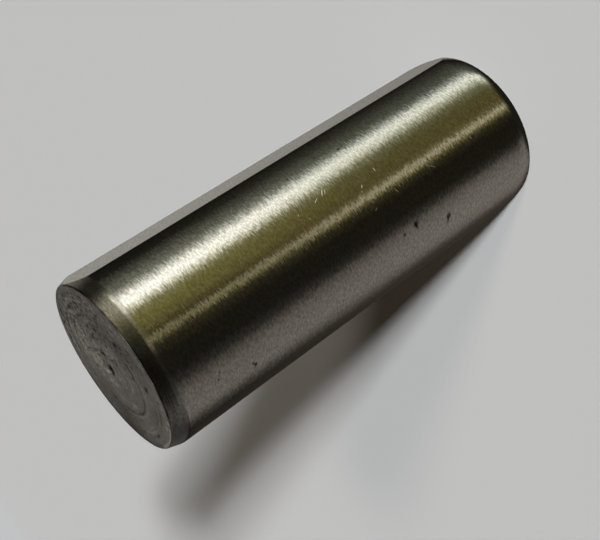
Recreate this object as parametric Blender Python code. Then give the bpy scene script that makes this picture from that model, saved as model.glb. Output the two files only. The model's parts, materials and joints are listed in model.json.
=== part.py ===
"""Dowel pin: one hardened steel cylinder, turned and ground all over.

The top end has a lead-in chamfer, so that the pin starts in its hole. The bottom end is crowned: its
edge curves in on a long, shallow arc. A narrow flat is ground along one side from end to end, and
lets air out of a blind hole as the pin goes in.

The pin stands on its bottom end. Its axis is +Z, and the origin is the middle of the bottom face.
"""

import math

import bmesh
import bpy
from mathutils import Matrix, Vector

MM = 0.001

DIAMETER = 10.0 * MM
LENGTH = 26.0 * MM

CHAMFER_LENGTH = 0.76 * MM
CHAMFER_DEPTH = 0.24 * MM  # how far the chamfer comes in from the ground side
FACE_EDGE_RADIUS = 0.06 * MM  # where the chamfer meets the top face
RUN_OUT_RADIUS = 1.0 * MM  # where the chamfer runs out onto the ground side

CROWN_LENGTH = 1.1 * MM
CROWN_DEPTH = 0.16 * MM  # how far the crown's arc comes in at the bottom face

FLAT_DEPTH = 0.215 * MM
FLAT_AZIMUTH = math.radians(135.0)  # the flat faces between two axes of the frame
CUTTER_MARGIN = 1.0 * MM

SEGMENTS = 96  # facets around the pin
BLEND_STEPS = 4
CROWN_STEPS = 8
WELD = 0.0001 * MM
SHARP_ANGLE = math.radians(12.0)

STEEL_COLOUR = (0.45, 0.44, 0.43, 1.0)
STEEL_ROUGHNESS = 0.28


def clear_scene():
    for obj in list(bpy.data.objects):
        bpy.data.objects.remove(obj, do_unlink=True)


def add_object(name, shape):
    """An object with this name in the scene, holding the bmesh, which is freed."""
    mesh = bpy.data.meshes.new(name)
    shape.to_mesh(mesh)
    shape.free()
    obj = bpy.data.objects.new(name, mesh)
    bpy.context.scene.collection.objects.link(obj)
    return obj


def blended(corner, before, after, radius):
    """Points of the arc of this radius that touches both straight sides of a corner.

    The centre lies on the line that halves the corner, and each tangent point is
    radius / tan(half the corner's angle) from the corner.
    """
    to_before = (before - corner).normalized()
    to_after = (after - corner).normalized()
    half_angle = to_before.angle(to_after) / 2
    centre = corner + (to_before + to_after).normalized() * (radius / math.sin(half_angle))
    tangent = radius / math.tan(half_angle)
    start = corner + to_before * tangent - centre
    end = corner + to_after * tangent - centre
    turn = start.angle_signed(end)
    return [
        centre + Matrix.Rotation(-turn * step / BLEND_STEPS, 2) @ start
        for step in range(BLEND_STEPS + 1)
    ]


def crown():
    """Points of the bottom end's arc, which leaves the side without a corner and ends at the face.

    An arc that is CROWN_LENGTH long and CROWN_DEPTH deep has the radius
    (length squared + depth squared) / (2 depth).
    """
    radius = (CROWN_LENGTH**2 + CROWN_DEPTH**2) / (2 * CROWN_DEPTH)
    whole_turn = math.asin(CROWN_LENGTH / radius)
    turns = [whole_turn * step / CROWN_STEPS for step in range(CROWN_STEPS + 1)]
    return [
        Vector((DIAMETER / 2 - radius * (1 - math.cos(turn)), CROWN_LENGTH - radius * math.sin(turn)))
        for turn in turns
    ]


def turned_profile():
    """(distance from the axis, height) points: top face, chamfer, side, crown, bottom face."""
    top_centre = Vector((0.0, LENGTH))
    bottom_centre = Vector((0.0, 0.0))
    face_edge = Vector((DIAMETER / 2 - CHAMFER_DEPTH, LENGTH))
    run_out = Vector((DIAMETER / 2, LENGTH - CHAMFER_LENGTH))
    crown_points = crown()
    return [
        top_centre,
        *blended(face_edge, top_centre, run_out, FACE_EDGE_RADIUS),
        *blended(run_out, face_edge, crown_points[0], RUN_OUT_RADIUS),
        *crown_points,
        bottom_centre,
    ]


def turned_pin():
    """The pin before its flat: the profile spun about Z."""
    shape = bmesh.new()
    points = [shape.verts.new((point.x, 0.0, point.y)) for point in turned_profile()]
    edges = [shape.edges.new(pair) for pair in zip(points, points[1:])]
    bmesh.ops.spin(
        shape,
        geom=points + edges,
        cent=(0.0, 0.0, 0.0),
        axis=(0.0, 0.0, 1.0),
        angle=math.tau,
        steps=SEGMENTS,
    )
    bmesh.ops.remove_doubles(shape, verts=shape.verts, dist=WELD)
    bmesh.ops.recalc_face_normals(shape, faces=shape.faces)
    pin = add_object("dowel_pin", shape)
    pin.data.shade_smooth()
    pin.data.set_sharp_from_angle(angle=SHARP_ANGLE)
    return pin


def flat_cutter():
    """A block whose inner side is the plane of the ground flat."""
    reach = DIAMETER
    plane = DIAMETER / 2 - FLAT_DEPTH
    height = LENGTH + 2 * CUTTER_MARGIN
    block = bmesh.new()
    bmesh.ops.create_cube(block, size=1.0)
    bmesh.ops.scale(block, vec=(reach, DIAMETER, height), verts=block.verts)
    bmesh.ops.translate(block, vec=(plane + reach / 2, 0.0, LENGTH / 2), verts=block.verts)
    to_side = Matrix.Rotation(FLAT_AZIMUTH, 3, "Z")
    bmesh.ops.rotate(block, cent=(0.0, 0.0, 0.0), matrix=to_side, verts=block.verts)
    cutter = add_object("flat_cutter", block)
    cutter.hide_render = True
    cutter.display_type = "WIRE"
    return cutter


def grind_flat(pin):
    cut = pin.modifiers.new("vent flat", "BOOLEAN")
    cut.operation = "DIFFERENCE"
    cut.solver = "EXACT"
    cut.object = flat_cutter()


def ground_steel():
    """Hardened bare steel with a ground finish: grey, with a satin shine."""
    steel = bpy.data.materials.new("ground_steel")
    steel.use_nodes = True
    shader = steel.node_tree.nodes["Principled BSDF"]
    shader.inputs["Base Color"].default_value = STEEL_COLOUR
    shader.inputs["Metallic"].default_value = 1.0
    shader.inputs["Roughness"].default_value = STEEL_ROUGHNESS
    return steel


def main():
    clear_scene()
    pin = turned_pin()
    pin.data.materials.append(ground_steel())
    grind_flat(pin)


main()
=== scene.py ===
"""Dowel pin: its finished surface, the studio round it and the camera.

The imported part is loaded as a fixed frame. The pin's own surface replaces the plain CAD solid: it has the
same sizes, and adds the turned end's relief, the broken edges and the ground finish.
"""

import json
import math

import bpy
import numpy as np
from mathutils import Matrix, Vector


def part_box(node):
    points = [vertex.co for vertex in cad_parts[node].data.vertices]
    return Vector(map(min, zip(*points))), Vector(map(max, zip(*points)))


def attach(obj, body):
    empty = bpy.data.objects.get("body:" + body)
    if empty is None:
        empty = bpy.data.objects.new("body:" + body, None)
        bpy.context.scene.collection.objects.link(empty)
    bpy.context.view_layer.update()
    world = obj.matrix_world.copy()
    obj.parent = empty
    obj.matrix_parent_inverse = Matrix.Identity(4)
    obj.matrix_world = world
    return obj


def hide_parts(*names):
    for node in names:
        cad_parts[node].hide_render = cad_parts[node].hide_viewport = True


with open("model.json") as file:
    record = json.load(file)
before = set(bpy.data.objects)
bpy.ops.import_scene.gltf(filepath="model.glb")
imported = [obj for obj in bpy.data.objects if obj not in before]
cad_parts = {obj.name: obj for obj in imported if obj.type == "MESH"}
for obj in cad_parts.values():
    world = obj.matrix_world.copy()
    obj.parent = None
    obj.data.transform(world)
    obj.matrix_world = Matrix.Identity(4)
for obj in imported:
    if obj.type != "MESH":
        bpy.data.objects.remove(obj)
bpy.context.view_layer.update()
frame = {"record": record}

bl_info = {
    "name": "Dowel pin",
    "version": (1, 0, 0),
    "blender": (4, 5, 0),
    "location": "View3D > Sidebar > Dowel pin",
    "description": "Builds a ground steel dowel pin and the small studio that it stands in",
    "category": "Object",
}

MM = 0.001
PIN_NODE = "dowel_pin"
PIN_LOW, PIN_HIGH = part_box(PIN_NODE)
PIN_RADIUS = (PIN_HIGH.x - PIN_LOW.x) / 2
PIN_LENGTH = PIN_HIGH.z - PIN_LOW.z
FLAT_MOUNT = next(m for m in frame["record"]["mounts"] if m["name"] == "vent_flat")
FLAT_AZIMUTH = math.atan2(FLAT_MOUNT["axis"][1], FLAT_MOUNT["axis"][0])

GROUND_SIDE, TURNED_CHAMFER, TURNED_FACE, GROUND_FLAT = range(4)

# The pin's columns: on the flat, across each of the flat's edges, and round the rest.
FLAT_COLUMNS, EDGE_COLUMNS, ROUND_COLUMNS = 37, 11, 290
EDGE_SPAN = math.radians(0.95)  # how far the narrow columns reach to each side of a flat's edge

PATCH_GRID = 64  # random values along a side of the grid behind the soft patches

# The turned end face, in millimetres.
FACE_RADIUS = 4.7
DISH_DEPTH = 0.05
RELIEF_END = 4.66
RELIEF_FADE = 0.22

MARK_REACH = 0.5 * MM  # how far a mark goes into the steel and stands out of it
MARK_OUTSIDE, MARK_INSIDE = 1.5, 0.35  # a mark fades out between these shares of its own size

FLOOR_RADIUS = 0.45
WALL_BEND = 0.35  # how far out the floor's bend reaches
WALL_HEIGHT = 0.45
FLOOR_DROP = 0.00001  # keeps the floor clear of the pin's bottom face
LOOKED_AT = Vector((1.077 * MM, -0.578 * MM, 14.506 * MM))

# Each light's name, azimuth and elevation in degrees, strength, width in degrees, and colour.
LIGHTS = (
    ("key_light", 75.0, 11.0, 5.8, 6.0, "#FFFFFF"),
    ("side_light", 72.0, 11.0, 3.3, 3.0, "#FFFFFF"),
    ("second_light", 89.0, 28.0, 0.63, 9.0, "#FFF4E6"),
    ("fill_light", 200.0, 80.0, 0.10, 100.0, "#FFE4C0"),
)


def linear(hex_colour):
    """A '#RRGGBB' sRGB colour as linear red, green, blue and an opaque alpha."""
    values = np.array([int(hex_colour[i : i + 2], 16) for i in (1, 3, 5)]) / 255.0
    dark = values / 12.92
    light = ((values + 0.055) / 1.055) ** 2.4
    return (*np.where(values <= 0.04045, dark, light).tolist(), 1.0)


# ---------------------------------------------------------------- settings


class PinSizes(bpy.types.PropertyGroup):
    chamfer_length: bpy.props.FloatProperty(
        name="Chamfer length",
        description="Length of the lead-in chamfer along the pin",
        default=0.76 * MM,
        unit="LENGTH",
    )
    chamfer_depth: bpy.props.FloatProperty(
        name="Chamfer depth",
        description="How far the chamfer comes in from the ground side",
        default=0.24 * MM,
        unit="LENGTH",
    )
    face_edge_radius: bpy.props.FloatProperty(
        name="Face edge radius",
        description="Rounding where the chamfer meets the turned face",
        default=0.06 * MM,
        unit="LENGTH",
    )
    run_out_radius: bpy.props.FloatProperty(
        name="Run-out radius",
        description="Rounding where the chamfer runs out onto the ground side",
        default=1.0 * MM,
        unit="LENGTH",
    )
    crown_length: bpy.props.FloatProperty(
        name="Crown length",
        description="Length of the crowned bottom end along the pin",
        default=1.1 * MM,
        unit="LENGTH",
    )
    crown_depth: bpy.props.FloatProperty(
        name="Crown depth",
        description="How far the crown comes in at the bottom face",
        default=0.16 * MM,
        unit="LENGTH",
    )
    foot_edge_radius: bpy.props.FloatProperty(
        name="Foot edge radius",
        description="Rounding where the crown meets the bottom face",
        default=0.05 * MM,
        unit="LENGTH",
    )
    flat_depth: bpy.props.FloatProperty(
        name="Flat depth",
        description="How deep the ground flat lies under the round side",
        default=0.215 * MM,
        unit="LENGTH",
    )
    flat_edge_break: bpy.props.FloatProperty(
        name="Flat edge break",
        description="Softening of the flat's two long edges",
        default=0.02 * MM,
        unit="LENGTH",
    )


class PinFinish(bpy.types.PropertyGroup):
    steel: bpy.props.FloatVectorProperty(
        name="Steel",
        description="Colour of the bare ground steel",
        subtype="COLOR",
        size=4,
        default=linear("#C8C7C4"),
    )
    steel_dull: bpy.props.FloatVectorProperty(
        name="Dull steel",
        description="Colour of the steel in its finest scratches",
        subtype="COLOR",
        size=4,
        default=linear("#B6B4B1"),
    )
    steel_bright: bpy.props.FloatVectorProperty(
        name="Bright steel",
        description="Colour of the steel where the grinding wheel left it cleanest",
        subtype="COLOR",
        size=4,
        default=linear("#DAD8D5"),
    )


class StudioSettings(bpy.types.PropertyGroup):
    floor_colour: bpy.props.FloatVectorProperty(
        name="Floor",
        description="Colour of the matt floor",
        subtype="COLOR",
        size=4,
        default=linear("#E4E6E8"),
    )
    camera_azimuth: bpy.props.FloatProperty(
        name="Camera azimuth",
        description="Direction from the pin to the camera, from +X towards +Y",
        default=math.radians(61.80),
        subtype="ANGLE",
    )
    camera_elevation: bpy.props.FloatProperty(
        name="Camera elevation",
        description="Height of the camera over the level",
        default=math.radians(26.24),
        subtype="ANGLE",
    )
    camera_roll: bpy.props.FloatProperty(
        name="Camera roll",
        description="Turn of the camera about its own line of sight",
        default=math.radians(124.385),
        subtype="ANGLE",
    )
    camera_distance: bpy.props.FloatProperty(
        name="Camera distance",
        description="Distance from the point looked at to the camera",
        default=52.88 * MM,
        unit="LENGTH",
    )
    camera_lens: bpy.props.FloatProperty(
        name="Lens",
        description="Focal length on a 36 mm wide sensor",
        default=58.64,
        subtype="DISTANCE_CAMERA",
    )


# ------------------------------------------------------------------ helpers


def add_node(tree, kind, sockets=None, stops=None, **settings):
    """Adds a node: settings are its properties, sockets its inputs' values or the outputs that feed
    them, and stops the (position, colour) pairs of a ramp."""
    made = tree.nodes.new(kind)
    for name, value in settings.items():
        setattr(made, name, value)
    for name, value in (sockets or {}).items():
        if isinstance(value, bpy.types.NodeSocket):
            tree.links.new(value, made.inputs[name])
        else:
            made.inputs[name].default_value = value
    if stops:
        ramp = made.color_ramp
        ramp.elements[0].position, ramp.elements[0].color = stops[0]
        ramp.elements[1].position, ramp.elements[1].color = stops[-1]
        for position, colour in stops[1:-1]:
            ramp.elements.new(position).color = colour
    return made


def link_object(name, data):
    made = bpy.data.objects.new(name, data)
    bpy.context.scene.collection.objects.link(made)
    return made


def new_material(name):
    """A new material with its node tree and its Principled shader."""
    material = bpy.data.materials.new(name)
    material.use_nodes = True
    return material, material.node_tree, material.node_tree.nodes["Principled BSDF"]


def direction(azimuth, elevation):
    """The unit vector at this azimuth from +X towards +Y, and this height over the level."""
    level = math.cos(elevation)
    return Vector((level * math.cos(azimuth), level * math.sin(azimuth), math.sin(elevation)))


def grid_mesh(points, wrap):
    """The vertices of a (rows, columns, 3) grid of points, and a quad for each of its cells.

    Row runs outwards or upwards and column anticlockwise, so that a cell's corners
    (row, column), (row, column + 1), (row + 1, column + 1), (row + 1, column) face out.
    """
    rows, columns = points.shape[:2]
    index = np.arange(rows * columns).reshape(rows, columns)
    beside = np.roll(index, -1, axis=1) if wrap else index[:, 1:]
    here = index if wrap else index[:, :-1]
    quads = np.stack([here[:-1], beside[:-1], beside[1:], here[1:]], axis=-1).reshape(-1, 4)
    return points.reshape(-1, 3), quads


def fill_mesh(name, vertices, quads, triangles, slots):
    """A mesh from arrays of vertices, quads, triangles, and the material slot of each face."""
    corners = np.concatenate([quads.ravel(), triangles.ravel()])
    sides = np.concatenate([np.full(len(quads), 4), np.full(len(triangles), 3)])
    mesh = bpy.data.meshes.new(name)
    mesh.vertices.add(len(vertices))
    mesh.vertices.foreach_set("co", vertices.ravel())
    mesh.loops.add(len(corners))
    mesh.loops.foreach_set("vertex_index", corners)
    mesh.polygons.add(len(sides))
    mesh.polygons.foreach_set("loop_start", np.concatenate([[0], np.cumsum(sides)[:-1]]))
    mesh.polygons.foreach_set("material_index", slots)
    mesh.update(calc_edges=True)
    mesh.shade_smooth()
    return mesh


# ---------------------------------------------------------------- the pin


def rounded(corner, before, after, radius, steps):
    """Points of the arc of this radius that touches both straight sides of a corner.

    The centre lies on the line that halves the corner, and each tangent point is
    radius / tan(half the corner's angle) from the corner.
    """
    corner, before, after = (np.array(p, float) for p in (corner, before, after))
    to_before = (before - corner) / np.linalg.norm(before - corner)
    to_after = (after - corner) / np.linalg.norm(after - corner)
    half = math.acos(float(to_before @ to_after)) / 2
    middle = (to_before + to_after) / np.linalg.norm(to_before + to_after)
    centre = corner + middle * radius / math.sin(half)
    start = corner + to_before * radius / math.tan(half) - centre
    end = corner + to_after * radius / math.tan(half) - centre
    turn = math.pi - 2 * half
    t = np.linspace(0.0, 1.0, steps + 1)[:, None]
    return centre + (start * np.sin((1 - t) * turn) + end * np.sin(t * turn)) / math.sin(turn)


def pin_profile(sizes):
    """Rows of (distance from the axis, height) from the bottom face's middle to the top face's, with
    each row's surface, and the share of the rim's distance for rows that lie on an end face."""
    foot = (PIN_RADIUS - sizes.crown_depth, 0.0)
    crown_radius = (sizes.crown_length**2 + sizes.crown_depth**2) / (2 * sizes.crown_depth)
    whole_turn = math.asin(sizes.crown_length / crown_radius)
    turns = np.linspace(whole_turn, 0.0, 13)
    crown = np.column_stack(
        [
            PIN_RADIUS - crown_radius * (1 - np.cos(turns)),
            sizes.crown_length - crown_radius * np.sin(turns),
        ]
    )
    foot_edge = rounded(foot, (0.0, 0.0), crown[1], sizes.foot_edge_radius, 5)
    face_edge = (PIN_RADIUS - sizes.chamfer_depth, PIN_LENGTH)
    run_out = (PIN_RADIUS, PIN_LENGTH - sizes.chamfer_length)
    blend = rounded(run_out, crown[-1], face_edge, sizes.run_out_radius, 8)
    lip = rounded(face_edge, run_out, (0.0, PIN_LENGTH), sizes.face_edge_radius, 6)

    bottom_r = np.array([0.02, 0.1, 0.25, 0.45, 0.65, 0.82, 0.93, 0.985]) * foot_edge[0, 0]
    bottom = np.column_stack([bottom_r, np.zeros_like(bottom_r)])
    side_z = np.linspace(crown[-1, 1], blend[0, 1], 142)[1:-1]
    side = np.column_stack([np.full_like(side_z, PIN_RADIUS), side_z])
    t = np.concatenate([[0.02], np.linspace(0.1, 0.9, 9), [0.98]])[:, None]
    cone = blend[-1] + t * (lip[0] - blend[-1])
    top_share = np.concatenate([[0.998], np.linspace(0.99, 0.006, 94)])
    top = np.column_stack([top_share * lip[-1, 0], np.full_like(top_share, PIN_LENGTH)])

    parts = [
        (bottom, TURNED_FACE),
        (foot_edge, GROUND_SIDE),
        (crown[2:], GROUND_SIDE),
        (side, GROUND_SIDE),
        (blend, TURNED_CHAMFER),
        (cone, TURNED_CHAMFER),
        (lip, TURNED_CHAMFER),
        (top, TURNED_FACE),
    ]
    points = np.concatenate([p for p, _ in parts])
    surface = np.concatenate([np.full(len(p), s) for p, s in parts])
    rim = points[:, 0].copy()
    rim[: len(bottom)] = foot_edge[0, 0]
    rim[-len(top) :] = lip[-1, 0]
    return points[:, 0], points[:, 1], surface, rim


def corner_mean(left, right, row, share):
    """The values of two columns of a grid at a row, mixed by the share of the right one."""
    at_left = np.take_along_axis(left, row, axis=-1)[..., 0]
    at_right = np.take_along_axis(right, row, axis=-1)[..., 0]
    return at_left * (1 - share) + at_right * share


def patchy(x, y, seed, turns=0):
    """Soft patches from -1 to 1, about one unit of x and y across.

    Each corner of a unit grid holds a random value, and a point between four corners takes their
    smooth mean. With turns, y counts that many cells once round the pin, so the patches close up.
    """
    values = np.random.default_rng(seed).uniform(-1.0, 1.0, (PATCH_GRID, turns or PATCH_GRID))
    column, row = np.floor(x).astype(int), np.floor(y).astype(int)
    share_x, share_y = x - column, y - row
    share_x, share_y = (t * t * (3 - 2 * t) for t in (share_x, share_y))
    period = values.shape[1]
    left, right = values[column % PATCH_GRID], values[(column + 1) % PATCH_GRID]
    here, beyond = (row % period)[..., None], ((row + 1) % period)[..., None]
    low = corner_mean(left, right, here, share_x)
    high = corner_mean(left, right, beyond, share_x)
    return low * (1 - share_y) + high * share_y


def dents(x, y, places, size, depth):
    """Round dents at the places, each as deep at its middle as its depth and falling off as a bell
    curve of its size: the sum of depth * exp(-(distance / size) squared), all in millimetres."""
    away = (x[..., None] - places[:, 0]) ** 2 + (y[..., None] - places[:, 1]) ** 2
    return (depth * np.exp(-away / size**2)).sum(axis=-1)


def ramp_between(value, low, high):
    """0 below low, 1 above high and smooth between them."""
    t = np.clip((value - low) / (high - low), 0.0, 1.0)
    return t * t * (3 - 2 * t)


def face_pits():
    """Places, sizes and depths of the end face's pits, in millimetres.

    A few large ones stand where the tool tore the steel, and small ones are strewn at random, most of
    them on the half where the tool dragged.
    """
    named = np.array(
        [
            (0.57, 2.71, 0.13, 0.030),
            (2.93, 1.57, 0.11, 0.045),
            (2.86, 1.72, 0.08, 0.030),
            (-3.29, 1.64, 0.12, 0.040),
            (-3.05, 1.80, 0.10, 0.030),
            (-1.14, 2.00, 0.11, 0.040),
            (-1.43, 1.04, 0.10, 0.040),
            (-0.68, 0.46, 0.12, 0.050),
            (-0.90, 0.28, 0.09, 0.030),
            (-1.85, 1.55, 0.09, 0.030),
            (-2.30, 0.60, 0.09, 0.028),
            (3.55, -1.90, 0.09, 0.030),
            (1.85, 1.25, 0.09, 0.026),
        ]
    )
    draw = np.random.default_rng(26)
    count = 340
    reach = 4.4 * np.sqrt(draw.uniform(0.0, 1.0, count))
    turn = np.radians(draw.normal(138.0, 52.0, count))
    strewn = np.column_stack(
        [
            reach * np.cos(turn),
            reach * np.sin(turn),
            draw.uniform(0.035, 0.080, count),
            draw.uniform(0.008, 0.030, count),
        ]
    )
    pits = np.concatenate([named, strewn])
    return pits[:, :2], pits[:, 2], pits[:, 3]


def groove(r, middle, width):
    """1 along the ring of radius middle and falling to 0 beside it as a bell curve of the width."""
    return np.exp(-(((r - middle) / width) ** 2))


def patch(x, y, place, reach):
    """1 at the place and falling to 0 round it as a bell curve, over the reach along x and along y."""
    return np.exp(-(((x - place[0]) / reach[0]) ** 2) - ((y - place[1]) / reach[1]) ** 2)


def burr_side(azimuth):
    """1 on the side of the rim where the burr stands, and 0 on the rest."""
    return ramp_between(np.cos(azimuth + 0.18), 0.92, 0.95)


def face_relief(r, azimuth):
    """Height of the turned end face over its rim, in millimetres and at most zero, and how dark its
    colour is, from 0 to 1, painted shade and painted highlights included.

    The face is a shallow dish with uneven rings left by the tool. Broken arcs mark where the tool
    chattered, and a torn pip with a raised lip is left in the middle. A thin burr stands on one side
    of the rim. The colour's tone is uneven, with two broad darker patches, a lighter one, and a
    darker ragged band inside the rim, except along the burr. Painted shade darkens the pits, the
    grooves and the pip's hole, and a painted highlight lightens the pip's lip and the burr.
    """
    x, y = r * np.cos(azimuth), r * np.sin(azimuth)
    turn = azimuth / (2 * np.pi)
    rim_fade = ramp_between(RELIEF_END - r, 0.0, RELIEF_FADE)
    dish = -DISH_DEPTH * (1 - (r / FACE_RADIUS) ** 2)
    spiral = r + 0.06 * np.cos(azimuth - 0.6) + 0.05 * patchy(r / 1.5, turn * 8, 3, turns=8)
    fine_rings = patchy(spiral / 0.10, turn * 14, 5, turns=14)
    broad_rings = patchy(spiral / 0.32, turn * 7, 7, turns=7)
    grain = patchy(x / 0.13, y / 0.13, 11) + 0.7 * patchy(x / 0.07, y / 0.07, 13)
    blotches = patchy(x / 0.42, y / 0.42, 29)
    torn = ramp_between(np.cos(azimuth - 2.4) * r, -1.5, 2.5)
    broken = 0.5 + 0.5 * patchy(r / 0.5, turn * 36, 17, turns=36)

    right = ramp_between(np.cos(azimuth + 0.10), 0.15, 0.60)
    far_right = ramp_between(np.cos(azimuth + 0.15), 0.75, 0.95)
    left = ramp_between(-np.cos(azimuth + 0.10), 0.45, 0.90)
    arcs = groove(r, 2.58 - 0.26 * np.sin(azimuth), 0.065) * right * (0.25 + 0.75 * broken)
    right_arcs = groove(spiral, 4.05, 0.05) + 0.7 * groove(spiral, 3.66, 0.05)
    arcs += 0.7 * right_arcs * far_right * broken
    left_arcs = groove(spiral, 3.72, 0.07) + 0.8 * groove(spiral, 4.30, 0.06)
    left_arcs += 0.7 * groove(spiral, 3.05, 0.09)
    arcs += 0.65 * left_arcs * left * (0.3 + 0.7 * broken)
    places, sizes, depths = face_pits()
    pits = dents(x, y, places, sizes, depths)
    hole = np.exp(-((((x + 0.23) / 0.23) ** 2 + ((y + 0.52) / 0.33) ** 2) ** 1.5))
    lip = patch(x, y, (-0.58, -1.00), (0.10, 0.08))
    ragged = 4.52 + 0.07 * patchy(r / 2.0, turn * 60, 31, turns=60)
    on_side = burr_side(azimuth)
    on_side *= 1 - groove(azimuth, math.radians(5.4), 0.03)
    burr = ramp_between(r, ragged, ragged + 0.06) * on_side
    # A darker ragged band inside the rim, except along the burr; it changes only the colour.
    ragged_dark_rim = 0.5 + 0.5 * patchy(r / 0.3, turn * 70, 37, turns=70)
    ragged_dark_rim *= ramp_between(r, 4.35, 4.65) * (1 - on_side)

    height = dish + 0.0024 * fine_rings + 0.0030 * broad_rings + 0.0014 * grain * (0.6 + torn)
    height -= 0.014 * arcs + pits + 0.17 * hole - 0.045 * lip
    height = np.minimum(rim_fade * (1 - burr) * height, 0.0)

    # Two broad darker patches and one lighter one.
    broad_patches = 0.42 * patch(x, y, (0.6, 2.7), (2.2, 1.0)) + 0.55 * patch(x, y, (0.4, -4.1), (2.6, 1.3))
    broad_patches = broad_patches * (0.8 + 0.3 * patchy(x / 0.9, y / 0.9, 19))
    broad_patches -= 0.12 * patch(x, y, (-2.3, -0.8), (1.5, 1.2))
    dirt_and_painted_light = 0.20 + broad_patches + 0.08 * fine_rings + 0.08 * broad_rings
    dirt_and_painted_light += 0.11 * grain * (0.5 + torn) + 0.06 * blotches
    # Painted shade in the grooves, the pits and the pip's hole, and a painted highlight on the pip's lip
    # and along the burr; the ragged band inside the rim is darker.
    dirt_and_painted_light += 0.75 * arcs + 30.0 * pits + 1.4 * hole + 0.25 * ragged_dark_rim - 2.0 * lip - 0.4 * burr
    return height, np.clip(dirt_and_painted_light, 0.0, 1.0)


def chamfer_dirt_and_painted_light(z, azimuth):
    """How dark the chamfer's colour is, from 0 to 1, by height in millimetres under the top face.

    Its uneven tone runs in streaks round the pin, and it is blotched darker along the edge beside
    the top face, except along the burr, where a painted highlight lightens it. Painted shade darkens
    the side under the burr.
    """
    turn = azimuth / (2 * np.pi)
    streaks = 0.09 * patchy(z / 0.10, turn * 44, 41, turns=44)
    streaks += 0.08 * patchy(z / 0.28, turn * 20, 43, turns=20)
    on_side = burr_side(azimuth)
    blots = 0.35 + 0.35 * patchy(z / 0.2, turn * 80, 47, turns=80)
    edge = ramp_between(-z, -0.10, -0.02)
    # Painted shade on the side under the burr.
    painted_shade_side = 0.34 * ramp_between(np.cos(azimuth + 0.40), 0.70, 0.97)
    return np.clip(0.24 + streaks + painted_shade_side + edge * (blots * (1 - on_side) - 0.2 * on_side), 0.0, 1.0)


def pin_columns(sizes):
    """Angles from the flat's middle in which the pin is divided, on its ground side, in radians.

    The steps are wide on the flat, narrow across its two edges, and even round the rest.
    """
    edge = math.acos(1 - sizes.flat_depth / PIN_RADIUS)
    near, past = edge - EDGE_SPAN, edge + EDGE_SPAN
    flat = np.linspace(-near, near, FLAT_COLUMNS)
    over = np.linspace(near, past, EDGE_COLUMNS)[1:]
    rest = np.linspace(past, 2 * math.pi - past, ROUND_COLUMNS)[1:-1]
    return np.concatenate([flat, over, rest, 2 * math.pi - over[::-1]]), edge


def pin_surface(sizes):
    """The pin as a grid of rows along its profile and columns round it.

    A column's angle shrinks with the flat's own half angle, acos(plane / row's radius), so that the
    columns at the flat's edge follow the edge as it runs out over the chamfer. A point's distance from
    the axis is the soft minimum of the row's radius and of plane / cos(angle), which is the flat.
    """
    radius, height, surface, rim = pin_profile(sizes)
    columns, edge = pin_columns(sizes)
    plane = PIN_RADIUS - sizes.flat_depth
    half = np.arccos(np.minimum(plane / rim, 1.0))
    half = np.maximum(half, 0.18 * edge)[:, None]
    signed = np.where(columns > math.pi, columns - 2 * math.pi, columns)[None, :]
    inside = np.abs(signed) <= edge
    beyond = half + (np.abs(signed) - edge) * (math.pi - half) / (math.pi - edge)
    angle = np.sign(signed) * np.where(inside, np.abs(signed) * half / edge, beyond)

    facing = np.maximum(np.cos(angle), 0.2)
    to_plane = plane / facing
    k = sizes.flat_edge_break
    soft = np.clip(1 - np.abs(rim[:, None] - to_plane) / k, 0.0, 1.0)
    rim_distance = np.minimum(rim[:, None], to_plane) - soft**2 * k / 4
    distance = rim_distance * (radius / rim)[:, None]
    azimuth = FLAT_AZIMUTH + angle

    z = np.repeat(height[:, None], angle.shape[1], axis=1)
    on_top = (surface == TURNED_FACE) & (height > PIN_LENGTH / 2)
    relief, face_dirt_and_painted_light = face_relief(distance[on_top] / MM, azimuth[on_top])
    z[on_top] += relief * MM
    # How dark the turned steel's colour is: its uneven tone with painted shade and painted highlights.
    dirt_and_painted_light = np.full(z.shape, 0.12)
    dirt_and_painted_light[on_top] = face_dirt_and_painted_light
    on_chamfer = surface == TURNED_CHAMFER
    under_top = (PIN_LENGTH - z[on_chamfer]) / MM
    dirt_and_painted_light[on_chamfer] = chamfer_dirt_and_painted_light(under_top, azimuth[on_chamfer])
    points = np.stack([distance * np.cos(azimuth), distance * np.sin(azimuth), z], axis=-1)

    flat_cell = (np.abs(signed) < edge * 0.999) & (rim[:, None] > plane)
    slots = np.where(flat_cell & (surface != TURNED_FACE)[:, None], GROUND_FLAT, surface[:, None])
    return points, slots, dirt_and_painted_light


def pin_mesh(sizes):
    points, slots, dirt_and_painted_light = pin_surface(sizes)
    vertices, quads = grid_mesh(points, wrap=True)
    rows, columns = points.shape[:2]
    bottom = np.array([[0.0, 0.0, 0.0]])
    top = np.array([[0.0, 0.0, points[-1, :, 2].mean()]])
    vertices = np.concatenate([vertices, bottom, top])
    around = np.arange(columns)
    beside = np.roll(around, -1)
    last = (rows - 1) * columns
    bottom_fan = np.column_stack([np.full(columns, rows * columns), beside, around])
    top_fan = np.column_stack([last + around, last + beside, np.full(columns, rows * columns + 1)])
    fans = np.concatenate([bottom_fan, top_fan])
    slot_of = np.concatenate([slots[:-1].ravel(), np.full(len(fans), TURNED_FACE)])
    mesh = fill_mesh("ground_pin", vertices, quads, fans, slot_of)
    poles = [0.2, dirt_and_painted_light[-1].mean()]
    # The turned steel's colour reads this: uneven tone with painted shade and painted highlights.
    mesh.attributes.new("dirt_and_painted_light", "FLOAT", "POINT").data.foreach_set(
        "value", np.concatenate([dirt_and_painted_light.ravel(), poles])
    )
    return mesh
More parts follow.
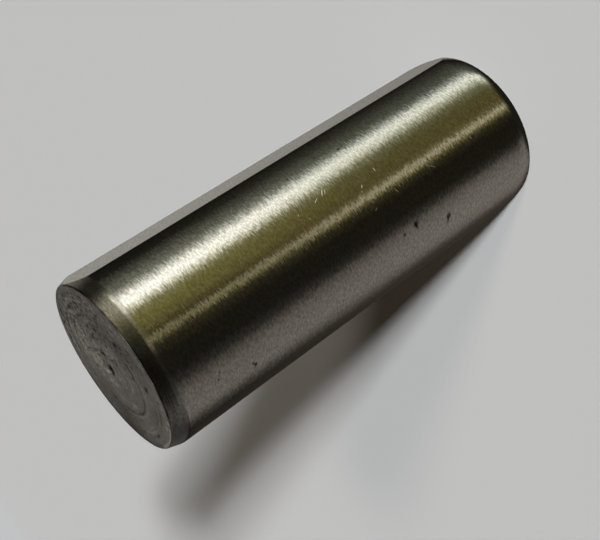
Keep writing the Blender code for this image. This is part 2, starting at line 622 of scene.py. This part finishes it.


# -------------------------------------------------------------- materials


# Pits in the ground side: azimuth in degrees, height, length round the pin and width, in millimetres,
# slant in degrees, and how black the pit is. The black is painted shade: a pit is a spot of colour
# with no hollow in the surface.
DARK_PITS = (
    (12.8, 20.94, 0.26, 0.20, -30.0, 1.0),
    (14.6, 21.06, 0.18, 0.16, 0.0, 0.9),
    (10.6, 21.02, 0.12, 0.10, 0.0, 0.5),
    (29.6, 9.46, 0.34, 0.34, 0.0, 1.0),
    (26.9, 9.44, 0.30, 0.15, 10.0, 0.6),
    (31.8, 9.30, 0.14, 0.12, 0.0, 0.4),
    (19.9, 7.10, 0.36, 0.34, 0.0, 1.0),
    (16.8, 7.18, 0.40, 0.17, -10.0, 0.7),
    (22.4, 7.00, 0.12, 0.12, 0.0, 0.4),
    (27.7, 10.36, 0.24, 0.20, 0.0, 0.8),
    (20.6, 23.10, 0.16, 0.12, 0.0, 0.7),
    (22.4, 23.00, 0.18, 0.09, 30.0, 0.4),
    (24.1, 22.92, 0.18, 0.11, 0.0, 0.6),
    (13.1, 15.10, 0.20, 0.10, 0.0, 0.5),
    (23.5, 17.90, 0.14, 0.11, 0.0, 0.5),
    (17.5, 13.20, 0.12, 0.10, 0.0, 0.4),
    (25.0, 12.30, 0.14, 0.10, 0.0, 0.4),
    (9.0, 18.40, 0.12, 0.10, 0.0, 0.4),
    (96.4, 10.75, 0.16, 0.22, 0.0, 0.9),
    (94.6, 10.40, 0.12, 0.14, 0.0, 0.5),
    (96.9, 14.25, 0.14, 0.11, 0.0, 0.8),
    (100.5, 12.10, 0.12, 0.12, 0.0, 0.5),
    (22.6, 8.60, 0.12, 0.12, 0.0, 0.5),
)
# Bright scratches: the same, and last how far the scratch leans the surface round the pin, in degrees.
SCRATCHES = (
    (77.2, 13.45, 0.46, 0.040, -38.0, 9.0),
    (77.0, 13.27, 0.34, 0.032, -38.0, 8.0),
    (75.4, 14.00, 0.30, 0.036, -60.0, 10.0),
    (73.6, 15.30, 0.16, 0.040, -20.0, 10.0),
    (68.5, 14.90, 0.16, 0.040, 0.0, 14.0),
    (72.0, 10.15, 0.30, 0.040, 0.0, 14.0),
    (67.6, 11.38, 0.26, 0.050, -35.0, 18.0),
    (65.0, 11.56, 0.12, 0.045, -20.0, 20.0),
    (54.2, 9.76, 0.26, 0.045, 20.0, 27.0),
    (55.0, 7.12, 0.45, 0.034, 50.0, 27.0),
    (51.9, 11.40, 0.16, 0.034, -60.0, 28.0),
    (61.5, 15.45, 0.24, 0.040, 0.0, 4.0),
    (60.2, 9.20, 0.16, 0.050, 0.0, 24.0),
)
# Nicks in the chamfer, which catch the light on their upper sides.
NICKS = (
    (99.5, 25.80, 0.30, 0.11, 10.0, 1.0),
    (87.6, 25.84, 0.26, 0.11, 0.0, 1.0),
    (70.0, 25.82, 0.22, 0.10, 0.0, 0.6),
    (5.4, 25.90, 0.20, 0.16, 0.0, 1.0),
)


def marks(tree, place, spots):
    """A value that is the spot's own value inside each of the spots and 0 elsewhere.

    Each spot is an ellipsoid on the pin's side: azimuth in degrees, height, length round the pin and
    width in millimetres, slant in degrees, and the value.
    """
    total = None
    for azimuth, height, length, width, slant, value in spots:
        turn = math.radians(azimuth)
        middle = (PIN_RADIUS * math.cos(turn), PIN_RADIUS * math.sin(turn), height * MM)
        lie = Matrix.Rotation(turn, 3, "Z") @ Matrix.Rotation(math.radians(slant), 3, "X")
        within = add_node(
            tree,
            "ShaderNodeMapping",
            {
                "Vector": place,
                "Location": middle,
                "Rotation": lie.to_euler(),
                "Scale": (MARK_REACH, length / 2 * MM, width / 2 * MM),
            },
            vector_type="TEXTURE",
        )
        reach = add_node(tree, "ShaderNodeVectorMath", {0: within.outputs[0]}, operation="LENGTH")
        spot = add_node(
            tree,
            "ShaderNodeMapRange",
            {
                "Value": reach.outputs["Value"],
                "From Min": MARK_OUTSIDE,
                "From Max": MARK_INSIDE,
                "To Max": value,
            },
            interpolation_type="SMOOTHSTEP",
        )
        if total is None:
            total = spot.outputs[0]
        else:
            both = add_node(tree, "ShaderNodeMath", {0: total, 1: spot.outputs[0]}, operation="ADD")
            total = both.outputs[0]
    return total


def ground_steel(name, finish, roughness, streak_tilt, marked):
    """Hardened steel, centreless ground: fine scratches run round the pin.

    Each scratch leans the surface a little, so the edge of a bright reflection looks combed, and
    the shine spreads along the pin and not round it. The marked side has pits, darkened with painted
    shade, and stray scratches.
    """
    material, tree, shader = new_material(name)
    place = add_node(tree, "ShaderNodeTexCoord")
    # A scratch is about 0.06 mm wide and 0.3 mm long.
    combed = add_node(
        tree, "ShaderNodeMapping", {"Vector": place.outputs["Object"], "Scale": (3300.0, 3300.0, 16500.0)}
    )
    scratches = add_node(
        tree,
        "ShaderNodeTexNoise",
        {"Vector": combed.outputs[0], "Scale": 1.0, "Detail": 4.0, "Roughness": 0.7},
    )
    lean = add_node(
        tree,
        "ShaderNodeMapRange",
        {
            "Value": scratches.outputs["Fac"],
            "From Min": 0.2,
            "From Max": 0.8,
            "To Min": -streak_tilt,
            "To Max": streak_tilt,
        },
        clamp=False,
    ).outputs[0]
    # Mottling left by the grinding wheel's grit, about 0.2 mm long.
    gritty = add_node(
        tree,
        "ShaderNodeMapping",
        {
            "Vector": place.outputs["Object"],
            "Location": (0.3, 0.1, 0.2),
            "Scale": (5000.0, 5000.0, 10000.0),
        },
    )
    grit = add_node(
        tree,
        "ShaderNodeTexNoise",
        {"Vector": gritty.outputs[0], "Scale": 1.0, "Detail": 4.0, "Roughness": 0.6},
    )
    shade = add_node(
        tree,
        "ShaderNodeValToRGB",
        {"Fac": grit.outputs["Fac"]},
        stops=[(0.39, finish.steel_dull), (0.5, finish.steel), (0.61, finish.steel_bright)],
    )
    colour = shade.outputs[0]
    if marked:
        pits = marks(tree, place.outputs["Object"], DARK_PITS)
        # The grit eats into a pit's edge, so that it is ragged.
        ragged = add_node(
            tree,
            "ShaderNodeMath",
            {0: grit.outputs["Fac"], 1: 1.4, 2: 0.25},
            operation="MULTIPLY_ADD",
        )
        black = add_node(
            tree, "ShaderNodeMath", {0: pits, 1: ragged.outputs[0]}, operation="MULTIPLY", use_clamp=True
        )
        # Painted shade: the pits are near-black spots of colour.
        pitted = add_node(
            tree,
            "ShaderNodeMix",
            {"Factor": black.outputs[0], 6: colour, 7: linear("#302E2B")},
            data_type="RGBA",
        )
        colour = pitted.outputs[2]
        stray = marks(
            tree,
            place.outputs["Object"],
            [(*scratch[:5], math.tan(math.radians(scratch[5]))) for scratch in SCRATCHES],
        )
        lean = add_node(tree, "ShaderNodeMath", {0: lean, 1: stray}, operation="ADD").outputs[0]
    around = add_node(tree, "ShaderNodeTangent", direction_type="RADIAL", axis="Z")
    geometry = add_node(tree, "ShaderNodeNewGeometry")
    sideways = add_node(
        tree, "ShaderNodeVectorMath", {0: around.outputs[0], "Scale": lean}, operation="SCALE"
    )
    leaning = add_node(
        tree,
        "ShaderNodeVectorMath",
        {0: geometry.outputs["Normal"], 1: sideways.outputs[0]},
        operation="ADD",
    )
    normal = add_node(tree, "ShaderNodeVectorMath", {0: leaning.outputs[0]}, operation="NORMALIZE")
    tree.links.new(colour, shader.inputs["Base Color"])
    tree.links.new(normal.outputs[0], shader.inputs["Normal"])
    tree.links.new(around.outputs[0], shader.inputs["Tangent"])
    shader.inputs["Metallic"].default_value = 1.0
    shader.inputs["Roughness"].default_value = roughness
    shader.inputs["Anisotropic"].default_value = 0.6
    shader.inputs["Anisotropic Rotation"].default_value = 0.25
    return material


def turned_steel(name, finish, roughness, mark_height, across, nicks=()):
    """Steel cut on a lathe: the tool leaves fine rings, duller than the ground side.

    The rings follow the distance from the axis on the end face, and the height on the chamfer. The
    colour reads the mesh's uneven tone, with painted shade in the grooves and pits and painted
    highlights. The tool's marks stand mark_height high.
    """
    material, tree, shader = new_material(name)
    place = add_node(tree, "ShaderNodeTexCoord")
    split = add_node(tree, "ShaderNodeSeparateXYZ", {0: place.outputs["Object"]})
    if across:
        flat = add_node(
            tree, "ShaderNodeCombineXYZ", {"X": split.outputs["X"], "Y": split.outputs["Y"]}
        )
        along = add_node(tree, "ShaderNodeVectorMath", {0: flat.outputs[0]}, operation="LENGTH")
        along = along.outputs["Value"]
    else:
        along = split.outputs["Z"]
    # The tool's feed marks, 0.07 mm apart.
    rings_at = add_node(tree, "ShaderNodeMath", {0: along, 1: 14000.0}, operation="MULTIPLY")
    rings = add_node(
        tree,
        "ShaderNodeTexNoise",
        {"W": rings_at.outputs[0], "Scale": 1.0, "Detail": 2.0},
        noise_dimensions="1D",
    )
    speckled_at = add_node(
        tree, "ShaderNodeMapping", {"Vector": place.outputs["Object"], "Scale": (7000.0, 7000.0, 7000.0)}
    )
    speckle = add_node(
        tree,
        "ShaderNodeTexNoise",
        {"Vector": speckled_at.outputs[0], "Scale": 1.0, "Detail": 4.0, "Roughness": 0.6},
    )
    rough_height = add_node(
        tree,
        "ShaderNodeMath",
        {0: speckle.outputs["Fac"], 1: 1.5, 2: rings.outputs["Fac"]},
        operation="MULTIPLY_ADD",
    )
    relief = rough_height.outputs[0]
    if nicks:
        # A nick is as deep as the tool's marks are high.
        cut = marks(tree, place.outputs["Object"], nicks)
        relief = add_node(
            tree, "ShaderNodeMath", {0: cut, 1: -1.0, 2: relief}, operation="MULTIPLY_ADD"
        ).outputs[0]
    bump = add_node(
        tree,
        "ShaderNodeBump",
        {"Height": relief, "Strength": 1.0, "Distance": mark_height},
    )
    # The mesh's tone, with its painted shade and painted highlights.
    dirt_and_painted_light = add_node(tree, "ShaderNodeAttribute", attribute_name="dirt_and_painted_light")
    uneven = add_node(
        tree,
        "ShaderNodeMath",
        {0: speckle.outputs["Fac"], 1: 0.7, 2: -0.35},
        operation="MULTIPLY_ADD",
    )
    tone_and_painted_light = add_node(
        tree,
        "ShaderNodeMath",
        {0: dirt_and_painted_light.outputs["Fac"], 1: uneven.outputs[0]},
        operation="ADD",
        use_clamp=True,
    )
    # The near-white end carries the painted highlights, the near-black end the painted shade in the pits,
    # grooves and hole.
    shade = add_node(
        tree,
        "ShaderNodeValToRGB",
        {"Fac": tone_and_painted_light.outputs[0]},
        stops=[
            (0.0, linear("#F8F7F4")),
            (0.12, finish.steel),
            (0.5, linear("#8E8B88")),
            (1.0, linear("#262421")),
        ],
    )
    tree.links.new(shade.outputs[0], shader.inputs["Base Color"])
    tree.links.new(bump.outputs[0], shader.inputs["Normal"])
    shader.inputs["Metallic"].default_value = 1.0
    shader.inputs["Roughness"].default_value = roughness
    return material


class PIN_OT_build(bpy.types.Operator):
    """Builds the pin's finished surface in place of the plain solid"""

    bl_idname = "dowel_pin.build_pin"
    bl_label = "Build the pin"

    def execute(self, context):
        sizes = context.scene.pin_sizes
        finish = context.scene.pin_finish
        pin = link_object("ground_pin", pin_mesh(sizes))
        for material in (
            ground_steel("centreless_ground_steel", finish, 0.085, 0.072, marked=True),
            turned_steel("turned_chamfer_steel", finish, 0.18, 0.0015 * MM, across=False, nicks=NICKS),
            turned_steel("faced_end_steel", finish, 0.40, 0.003 * MM, across=True),
            ground_steel("surface_ground_flat_steel", finish, 0.16, 0.045, marked=False),
        ):
            pin.data.materials.append(material)
        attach(pin, "root")
        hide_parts(PIN_NODE)
        return {"FINISHED"}


# ------------------------------------------------------------- the studio

STEEL_SHINE = 0.57  # how much of the light the bare steel gives back
BRIGHTEST = 3.0  # a ramp's white stands for this much light

# What stands round the pin, by azimuth in degrees, as the shade that the steel shows there.
# In LOWEST_BELT and UPPER_BELT the grey stretch from about -60 to -14 and the pale one from -158 to -142
# are a painted reflection of a pale floor, and the dark stretch from -126 to about -70 is a painted
# reflection of the shadow beside the pin: the steel does not mirror the real floor.
LOWEST_BELT = (
    (-180, "#12110E"),
    (-166, "#1C1B17"),
    (-158, "#5B5A55"),
    (-142, "#7A7872"),
    (-134, "#3A3833"),
    (-126, "#2A2622"),
    (-100, "#2B2722"),
    (-84, "#2E2A25"),
    (-72, "#3E3A34"),
    (-60, "#5B5650"),
    (-46, "#64615A"),
    (-28, "#64615B"),
    (-14, "#5D5A54"),
    (-2, "#4E4943"),
    (5, "#2C2A26"),
    (15, "#191711"),
    (40, "#17150F"),
    (51, "#2C291B"),
    (56, "#625D3B"),
    (61, "#9A937A"),
    (66, "#625B40"),
    (72, "#4B4325"),
    (92, "#4A4628"),
    (103, "#5F5E45"),
    (111, "#9FA08A"),
    (120, "#D8D9C9"),
    (126.5, "#C6C8BB"),
    (132.5, "#82867E"),
    (140, "#4A4C41"),
    (158, "#31322A"),
    (180, "#12110E"),
)
UPPER_BELT = (
    (-180, "#12110E"),
    (-166, "#1C1B17"),
    (-158, "#64635E"),
    (-142, "#83817B"),
    (-134, "#3A3833"),
    (-126, "#24211D"),
    (-70, "#211E1A"),
    (-58, "#3A3733"),
    (-49, "#55514C"),
    (-40, "#5F5B57"),
    (-14, "#57534F"),
    (-2, "#434039"),
    (6, "#272523"),
    (18, "#171511"),
    (40, "#17150F"),
    (55, "#28251A"),
    (61, "#605B3C"),
    (64, "#6E6850"),
    (68, "#352F1B"),
    (78, "#585230"),
    (90, "#625D33"),
    (99, "#6F6B49"),
    (106, "#C9C7AC"),
    (112, "#FFFFF2"),
    (120.5, "#F6F4E8"),
    (126.5, "#A8A89C"),
    (134.5, "#66675A"),
    (148, "#42423A"),
    (162, "#1A1913"),
    (180, "#12110E"),
)
EYE_BELT = (
    (-180, "#4A4843"),
    (-150, "#7A7771"),
    (-120, "#6C6963"),
    (-95, "#4A4844"),
    (-60, "#4A4844"),
    (-28, "#504E4A"),
    (-4, "#3C3A37"),
    (8, "#2A2825"),
    (20, "#1B1916"),
    (48, "#1B1914"),
    (60, "#6E6850"),
    (72, "#4A4530"),
    (96, "#7A7656"),
    (108, "#E4E2D0"),
    (124, "#E4E2D0"),
    (135, "#5A5B4E"),
    (145, "#1E1D18"),
    (168, "#1C1B17"),
    (180, "#4A4843"),
)
LEVEL_BELT = (
    (-180, "#1C1B18"),
    (-120, "#302D2A"),
    (-100, "#2A2725"),
    (-60, "#2A2725"),
    (-30, "#211F1D"),
    (-5, "#151412"),
    (20, "#0E0D0B"),
    (50, "#10110C"),
    (70, "#222219"),
    (86, "#403E2B"),
    (100, "#605D46"),
    (116, "#79745C"),
    (130, "#5C5844"),
    (144, "#2D2A1E"),
    (165, "#11110F"),
    (180, "#1C1B18"),
)
TOP_BELT = (
    (-180, "#302E2B"),
    (-150, "#5F5C58"),
    (-120, "#6C6965"),
    (-92, "#5F5C58"),
    (-60, "#2A2825"),
    (60, "#1C1B18"),
    (90, "#4C4A3E"),
    (112, "#8A8674"),
    (135, "#45423A"),
    (180, "#302E2B"),
)
FOOT_BELT = ((-180, "#191A13"), (180, "#191A13"))
OVERHEAD_BELT = ((-180, "#B4B2AA"), (180, "#B4B2AA"))
BELTS = (FOOT_BELT, LOWEST_BELT, UPPER_BELT, EYE_BELT, LEVEL_BELT, TOP_BELT, OVERHEAD_BELT)
# The heights, in degrees, between which each belt gives way to the one over it.
BELT_JOINTS = ((-62, -52), (-38, -18), (-13, -7), (8, 14), (22, 34), (60, 74))


def belt_stops(belt):
    """A belt's azimuths as places along a ramp, and its shades as the light that makes them."""
    stops = []
    for azimuth, shade in belt:
        light = [value / STEEL_SHINE / BRIGHTEST for value in linear(shade)[:3]]
        stops.append(((azimuth + 180) / 360, (*light, 1.0)))
    return stops


def surroundings():
    """The room that the steel mirrors: seven belts, one over the other, joined by height.

    Azimuth is atan2(y, x) of the direction looked in, and height is asin(z). Only mirrored rays
    see the room, so it lights neither the floor nor the backdrop.
    """
    world = bpy.data.worlds.new("studio_room")
    bpy.context.scene.world = world
    world.use_nodes = True
    tree = world.node_tree
    looked_in = add_node(tree, "ShaderNodeTexCoord")
    split = add_node(tree, "ShaderNodeSeparateXYZ", {0: looked_in.outputs["Generated"]})
    azimuth = add_node(
        tree,
        "ShaderNodeMath",
        {0: split.outputs["Y"], 1: split.outputs["X"]},
        operation="ARCTAN2",
    )
    along = add_node(
        tree,
        "ShaderNodeMapRange",
        {"Value": azimuth.outputs[0], "From Min": -math.pi, "From Max": math.pi},
    )
    height = add_node(tree, "ShaderNodeMath", {0: split.outputs["Z"]}, operation="ARCSINE")
    belts = [
        add_node(tree, "ShaderNodeValToRGB", {"Fac": along.outputs[0]}, stops=belt_stops(belt))
        for belt in BELTS
    ]
    colour = belts[0].outputs[0]
    for belt, (low, high) in zip(belts[1:], BELT_JOINTS):
        share = add_node(
            tree,
            "ShaderNodeMapRange",
            {
                "Value": height.outputs[0],
                "From Min": math.radians(low),
                "From Max": math.radians(high),
            },
            interpolation_type="SMOOTHSTEP",
        )
        mixed = add_node(
            tree,
            "ShaderNodeMix",
            {"Factor": share.outputs[0], 6: colour, 7: belt.outputs[0]},
            data_type="RGBA",
        )
        colour = mixed.outputs[2]
    background = tree.nodes["Background"]
    tree.links.new(colour, background.inputs["Color"])
    background.inputs["Strength"].default_value = BRIGHTEST
    seen_by = world.cycles_visibility
    seen_by.camera = False
    seen_by.diffuse = False
    seen_by.transmission = False
    seen_by.scatter = False


def backdrop_mesh():
    """A round floor that curves up into a wall all the way round.

    It is a profile turned about Z: level out to the bend, then a quarter of an ellipse.
    """
    flat = np.concatenate([[0.0005], np.geomspace(0.004, FLOOR_RADIUS, 20)])
    turn = np.linspace(0.0, math.pi / 2, 25)[1:]
    out = np.concatenate([flat, FLOOR_RADIUS + WALL_BEND * np.sin(turn)])
    up = np.concatenate([np.zeros_like(flat), WALL_HEIGHT * (1 - np.cos(turn))])
    azimuth = np.linspace(0.0, 2 * math.pi, 97)[:-1]
    grid = np.stack(
        [
            out[::-1, None] * np.cos(azimuth),
            out[::-1, None] * np.sin(azimuth),
            np.repeat(up[::-1, None] - FLOOR_DROP, len(azimuth), axis=1),
        ],
        axis=-1,
    )
    vertices, quads = grid_mesh(grid, wrap=True)
    middle = len(vertices)
    last = (len(out) - 1) * len(azimuth)
    around = np.arange(len(azimuth))
    fan = np.column_stack([last + around, last + np.roll(around, -1), np.full(len(azimuth), middle)])
    vertices = np.concatenate([vertices, [[0.0, 0.0, -FLOOR_DROP]]])
    slots = np.zeros(len(quads) + len(fan), int)
    return fill_mesh("backdrop", vertices, quads, fan, slots)


def paper(studio):
    """Matt paper that glows where it curves up, so that it keeps one tone all round."""
    material, tree, shader = new_material("matt_paper")
    shader.inputs["Base Color"].default_value = studio.floor_colour
    shader.inputs["Roughness"].default_value = 0.9
    shader.inputs["Specular IOR Level"].default_value = 0.0
    glow = add_node(
        tree, "ShaderNodeEmission", {"Color": studio.floor_colour, "Strength": 0.67}
    )
    place = add_node(tree, "ShaderNodeTexCoord")
    from_middle = add_node(
        tree, "ShaderNodeVectorMath", {0: place.outputs["Object"]}, operation="LENGTH"
    )
    share = add_node(
        tree,
        "ShaderNodeMapRange",
        {"Value": from_middle.outputs["Value"], "From Min": 0.3, "From Max": 0.5},
        interpolation_type="SMOOTHSTEP",
    )
    mixed = add_node(
        tree,
        "ShaderNodeMixShader",
        {0: share.outputs[0], 1: shader.outputs[0], 2: glow.outputs[0]},
    )
    tree.links.new(mixed.outputs[0], tree.nodes["Material Output"].inputs["Surface"])
    return material


def sun(name, azimuth, elevation, strength, spread, colour):
    light = bpy.data.lights.new(name, "SUN")
    light.energy = strength
    light.angle = math.radians(spread)
    light.color = linear(colour)[:3]
    lamp = link_object(name, light)
    towards = direction(math.radians(azimuth), math.radians(elevation))
    lamp.rotation_euler = towards.to_track_quat("Z", "Y").to_euler()
    lamp.location = towards * 0.5
    lamp.visible_glossy = False


class STUDIO_OT_build(bpy.types.Operator):
    """Builds the floor, the lights, the room that the steel mirrors, and the camera"""

    bl_idname = "dowel_pin.build_studio"
    bl_label = "Build the studio"

    def execute(self, context):
        studio = context.scene.studio_settings
        backdrop = link_object("backdrop", backdrop_mesh())
        backdrop.data.materials.append(paper(studio))
        backdrop.visible_glossy = False
        backdrop.visible_shadow = False
        backdrop.visible_diffuse = False
        surroundings()
        for light in LIGHTS:
            sun(*light)
        self.add_camera(context.scene, studio)
        context.scene.view_settings.view_transform = "Standard"
        return {"FINISHED"}

    def add_camera(self, scene, studio):
        """The camera looks at a point just off the pin's middle, and is turned about its line of sight
        by the roll, from level."""
        back = direction(studio.camera_azimuth, studio.camera_elevation)
        right = Vector((0.0, 0.0, 1.0)).cross(back).normalized()
        level = Matrix((right, back.cross(right), back)).transposed()
        lens = bpy.data.cameras.new("studio_camera")
        lens.lens = studio.camera_lens
        lens.sensor_width = 36.0
        lens.clip_start = 0.001
        lens.clip_end = 5.0
        camera = link_object("studio_camera", lens)
        turned = level @ Matrix.Rotation(-studio.camera_roll, 3, "Z")
        stands_at = Matrix.Translation(LOOKED_AT + back * studio.camera_distance)
        camera.matrix_world = stands_at @ turned.to_4x4()
        scene.camera = camera


class DOWEL_PT_panel(bpy.types.Panel):
    """Lists the dowel pin's operators and their settings"""

    bl_label = "Dowel pin"
    bl_idname = "DOWEL_PT_panel"
    bl_space_type = "VIEW_3D"
    bl_region_type = "UI"
    bl_category = "Dowel pin"

    def draw(self, context):
        scene = context.scene
        for settings, operator in (
            (scene.pin_sizes, None),
            (scene.pin_finish, PIN_OT_build),
            (scene.studio_settings, STUDIO_OT_build),
        ):
            for name in settings.__annotations__:
                self.layout.prop(settings, name)
            if operator:
                self.layout.operator(operator.bl_idname)


CLASSES = (PinSizes, PinFinish, StudioSettings, PIN_OT_build, STUDIO_OT_build, DOWEL_PT_panel)
SETTINGS = {"pin_sizes": PinSizes, "pin_finish": PinFinish, "studio_settings": StudioSettings}


def register():
    for made in CLASSES:
        bpy.utils.register_class(made)
    for name, group in SETTINGS.items():
        setattr(bpy.types.Scene, name, bpy.props.PointerProperty(type=group))


def unregister():
    for name in SETTINGS:
        delattr(bpy.types.Scene, name)
    for made in reversed(CLASSES):
        bpy.utils.unregister_class(made)


def main():
    register()
    bpy.ops.dowel_pin.build_pin()
    bpy.ops.dowel_pin.build_studio()


if __name__ == "__main__":
    main()
